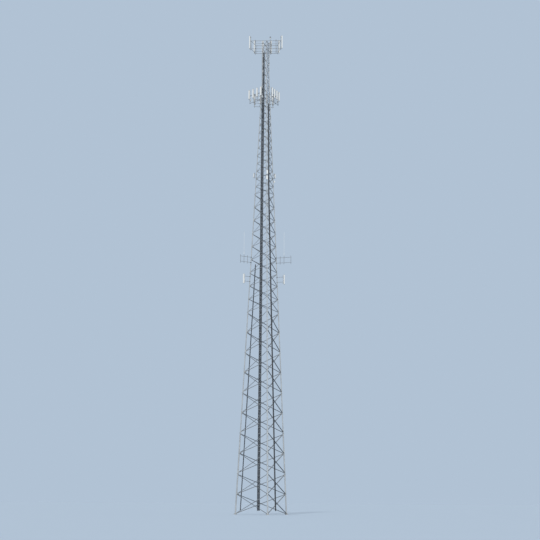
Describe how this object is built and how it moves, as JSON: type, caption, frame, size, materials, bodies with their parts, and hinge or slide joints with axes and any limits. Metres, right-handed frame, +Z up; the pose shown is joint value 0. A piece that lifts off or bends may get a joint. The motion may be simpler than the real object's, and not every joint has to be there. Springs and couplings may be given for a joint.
{
  "type": "lattice cell tower, 1:2 scale model",
  "caption": "Tapered three-legged lattice cell tower with X-braced faces, pipe legs, feedline ladders and panel antennas on frames, as a half-size model.",
  "frame": {"origin": "centre of the underside of the front leg's base plate", "axes": "+Z up, -Y towards the front leg's side, +X to the right leg"},
  "size_m": [4.1362, 3.6154, 37.0043],
  "materials": {
    "leg_steel": "hot-dip galvanised, weathered dull grey",
    "brace_steel": "hot-dip galvanised angle, darker weathered grey",
    "ladder_steel": "galvanised flat bar",
    "mount_steel": "galvanised pipe",
    "feedline_jacket": "black weathered cable jacket",
    "radome": "off-white fibreglass cover, slightly chalky",
    "radio_housing": "pale grey powder coat",
    "beacon_lens": "clear ribbed lens over a pale housing"
  },
  "bodies": {
    "root": {"legs_section_01": "leg_steel", "legs_section_02": "leg_steel", "legs_section_03": "leg_steel", "legs_section_04": "leg_steel", "legs_section_05": "leg_steel", "legs_section_06": "leg_steel", "legs_section_07": "leg_steel", "legs_section_08": "leg_steel", "legs_section_09": "leg_steel", "legs_section_10": "leg_steel", "legs_section_11": "leg_steel", "legs_section_12": "leg_steel", "right_face_bracing_lower": "brace_steel", "right_face_bracing_middle": "brace_steel", "right_face_bracing_upper": "brace_steel", "right_face_bracing_top": "brace_steel", "back_face_bracing_lower": "brace_steel", "back_face_bracing_middle": "brace_steel", "back_face_bracing_upper": "brace_steel", "back_face_bracing_top": "brace_steel", "left_face_bracing_lower": "brace_steel", "left_face_bracing_middle": "brace_steel", "left_face_bracing_upper": "brace_steel", "left_face_bracing_top": "brace_steel", "back_feedline_ladder": "ladder_steel", "right_feedline_ladder": "ladder_steel", "side_run_brackets": "ladder_steel", "back_feedlines": "feedline_jacket", "right_feedlines": "feedline_jacket", "side_feedlines": "feedline_jacket", "top_array_frame": "mount_steel", "top_array_mast_pipes": "mount_steel", "second_array_frame": "mount_steel", "second_array_mast_pipes": "mount_steel", "third_level_mounts": "mount_steel", "fourth_level_side_arms": "mount_steel", "fifth_level_side_arms": "mount_steel", "beacon_pole": "mount_steel", "top_array_panels": "radome", "second_array_panels": "radome", "third_level_antennas": "radome", "fourth_level_whips": "radome", "fifth_level_panels": "radome", "second_array_radio_units": "radio_housing", "beacon": "beacon_lens"}
  },
  "joints": []
}
